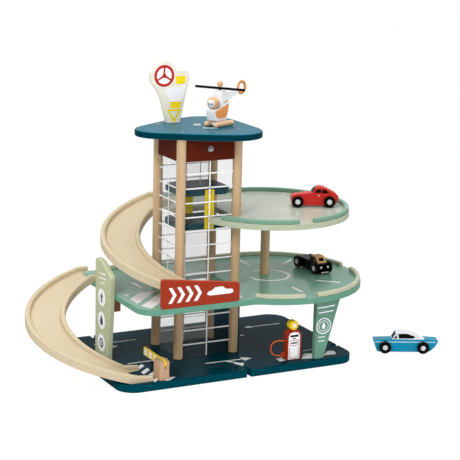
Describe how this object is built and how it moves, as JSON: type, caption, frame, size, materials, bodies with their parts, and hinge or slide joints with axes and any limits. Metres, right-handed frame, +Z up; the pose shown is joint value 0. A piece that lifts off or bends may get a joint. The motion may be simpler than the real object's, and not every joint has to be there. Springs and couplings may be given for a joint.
{
  "type": "toy parking garage with lift",
  "caption": "Wooden toy parking garage: lift tower, two decks with curbs, two curved ramps, helicopter roof, signs, barrier, fuel pump, toy helicopter and toy cars.",
  "frame": {"origin": "centre of the base board's underside, on the surface that it stands on", "axes": "+X right along the base board, +Y to the back, +Z up"},
  "size_m": [0.7957, 0.354, 0.569],
  "materials": {
    "base_paint": "satin paint on board",
    "roof_paint": "satin paint on board",
    "beech": "clear lacquer",
    "ramp_wood": "clear lacquer",
    "mint_paint": "satin paint on board",
    "sage_paint": "satin paint on board",
    "sea_paint": "satin paint on wood",
    "brick_paint": "satin paint on wood",
    "red_paint": "satin paint on wood",
    "yellow_paint": "satin paint on wood",
    "petrol_paint": "satin paint on wood",
    "cream_paint": "satin paint on wood",
    "raw_block": "clear lacquer",
    "brown_paint": "satin paint on wood",
    "white_paint": "satin paint on wood",
    "black_paint": "satin paint on wood",
    "car_red_paint": "gloss paint on wood",
    "car_blue_paint": "gloss paint on wood",
    "orange_paint": "satin paint on wood",
    "wheel_plastic": "satin moulded plastic",
    "clear_sheet": "clear acrylic sheet with a printed white grid",
    "steel": "bright zinc",
    "hose_rubber": "smooth elastic cord",
    "lift_cord": "braided cord"
  },
  "bodies": {
    "garage": {"base_board": "base_paint", "tower_post_1": "beech", "tower_post_2": "beech", "tower_post_3": "beech", "tower_post_4": "beech", "header_front": "brick_paint", "header_back": "brick_paint", "header_left": "brick_paint", "header_right": "brick_paint", "window_front": "clear_sheet", "window_back": "clear_sheet", "window_left": "clear_sheet", "mid_deck": "mint_paint", "top_deck": "sage_paint", "deck_post": "beech", "mid_curb_front": "sage_paint", "mid_curb_right": "sage_paint", "mid_curb_back": "sage_paint", "top_curb_front": "sea_paint", "top_curb_rear": "sea_paint", "upper_ramp": "ramp_wood", "lower_ramp": "ramp_wood", "roof_deck": "roof_paint", "lift_cord": "lift_cord", "front_sign": "red_paint", "pylon_sign": "sage_paint", "pylon_block": "brown_paint", "roof_sign": "cream_paint", "front_prop": "mint_paint", "rear_wall": "base_paint", "barrier_block": "raw_block", "barrier_pin": "steel", "pump_body": "red_paint", "pump_globe": "yellow_paint", "pump_nozzle": "red_paint", "pump_hose": "hose_rubber"},
    "lift_car": {"lift_floor": "petrol_paint", "lift_ceiling": "petrol_paint", "lift_slat_front": "yellow_paint", "lift_slat_back": "yellow_paint"},
    "winder": {"winding_shaft": "steel", "winding_wheel": "beech", "winding_peg": "beech"},
    "barrier": {"barrier_arm": "yellow_paint"},
    "helicopter": {"helicopter_body": "white_paint", "helicopter_skid_left": "raw_block", "helicopter_skid_right": "raw_block", "helicopter_pilot": "raw_block", "helicopter_tail_ring": "orange_paint"},
    "rotor": {"helicopter_rotor": "black_paint"},
    "coupe": {"coupe_body": "car_red_paint"},
    "coupe_rear_axle": {"coupe_rear_wheels": "wheel_plastic"},
    "coupe_front_axle": {"coupe_front_wheels": "wheel_plastic"},
    "pickup": {"pickup_body": "black_paint", "pickup_cab": "raw_block"},
    "pickup_rear_axle": {"pickup_rear_wheels": "wheel_plastic"},
    "pickup_front_axle": {"pickup_front_wheels": "wheel_plastic"},
    "saloon": {"saloon_body": "car_blue_paint"},
    "saloon_rear_axle": {"saloon_rear_wheels": "wheel_plastic"},
    "saloon_front_axle": {"saloon_front_wheels": "wheel_plastic"}
  },
  "joints": [
    {"name": "lift_slide", "type": "slide", "parent": "garage", "child": "lift_car", "axis": [0, 0, 1], "range_m": [-0.2455, 0.05], "deforming": ["lift_cord"]},
    {"name": "winder_turn", "type": "hinge", "parent": "garage", "child": "winder", "pos_m": [-0.025, 0.0063, 0.417], "axis": [0, 1, 0], "range_deg": [-500, 2400]},
    {"name": "barrier_swing", "type": "hinge", "parent": "garage", "child": "barrier", "pos_m": [-0.159, -0.144, 0.0445], "axis": [1, 0, 0], "range_deg": [0, 85]},
    {"name": "helicopter_lift_off", "type": "slide", "parent": "garage", "child": "helicopter", "axis": [0, 0, 1], "range_m": [0, 0.08]},
    {"name": "rotor_spin", "type": "hinge", "parent": "helicopter", "child": "rotor", "pos_m": [0.017, 0, 0.52], "axis": [0, 0, 1], "continuous": true},
    {"name": "coupe_roll", "type": "slide", "parent": "garage", "child": "coupe", "axis": [-0.9219, 0.3875, 0], "range_m": [-0.006, 0.05]},
    {"name": "coupe_rear_spin", "type": "hinge", "parent": "coupe", "child": "coupe_rear_axle", "pos_m": [0.24127, -0.03829, 0.2966], "axis": [-0.3875, -0.9219, 0], "range_deg": [-60, 260]},
    {"name": "coupe_front_spin", "type": "hinge", "parent": "coupe", "child": "coupe_front_axle", "pos_m": [0.18374, -0.01411, 0.2966], "axis": [-0.3875, -0.9219, 0], "range_deg": [-60, 260]},
    {"name": "pickup_roll", "type": "slide", "parent": "garage", "child": "pickup", "axis": [0.0541, -0.9985, 0], "range_m": [-0.03, 0.04]},
    {"name": "pickup_rear_spin", "type": "hinge", "parent": "pickup", "child": "pickup_rear_axle", "pos_m": [0.23114, 0.02845, 0.1603], "axis": [0.9985, 0.0541, 0], "range_deg": [-180, 220]},
    {"name": "pickup_front_spin", "type": "hinge", "parent": "pickup", "child": "pickup_front_axle", "pos_m": [0.23447, -0.03306, 0.1603], "axis": [0.9985, 0.0541, 0], "range_deg": [-180, 220]},
    {"name": "saloon_roll", "type": "slide", "parent": "garage", "child": "saloon", "axis": [0.9026, -0.4305, 0], "range_m": [-0.03, 0.06]},
    {"name": "saloon_rear_spin", "type": "hinge", "parent": "saloon", "child": "saloon_rear_axle", "pos_m": [0.33456, -0.11881, 0.0123], "axis": [0.4305, 0.9026, 0], "range_deg": [-180, 320]},
    {"name": "saloon_front_spin", "type": "hinge", "parent": "saloon", "child": "saloon_front_axle", "pos_m": [0.40244, -0.15119, 0.0123], "axis": [0.4305, 0.9026, 0], "range_deg": [-180, 320]}
  ],
  "couplings": [
    {"joint": "winder_turn", "follows": "lift_slide", "rad_per_m": -166.67},
    {"joint": "coupe_rear_spin", "follows": "coupe_roll", "rad_per_m": 88.496},
    {"joint": "coupe_front_spin", "follows": "coupe_roll", "rad_per_m": 88.496},
    {"joint": "pickup_rear_spin", "follows": "pickup_roll", "rad_per_m": 83.333},
    {"joint": "pickup_front_spin", "follows": "pickup_roll", "rad_per_m": 83.333},
    {"joint": "saloon_rear_spin", "follows": "saloon_roll", "rad_per_m": 83.333},
    {"joint": "saloon_front_spin", "follows": "saloon_roll", "rad_per_m": 83.333}
  ]
}
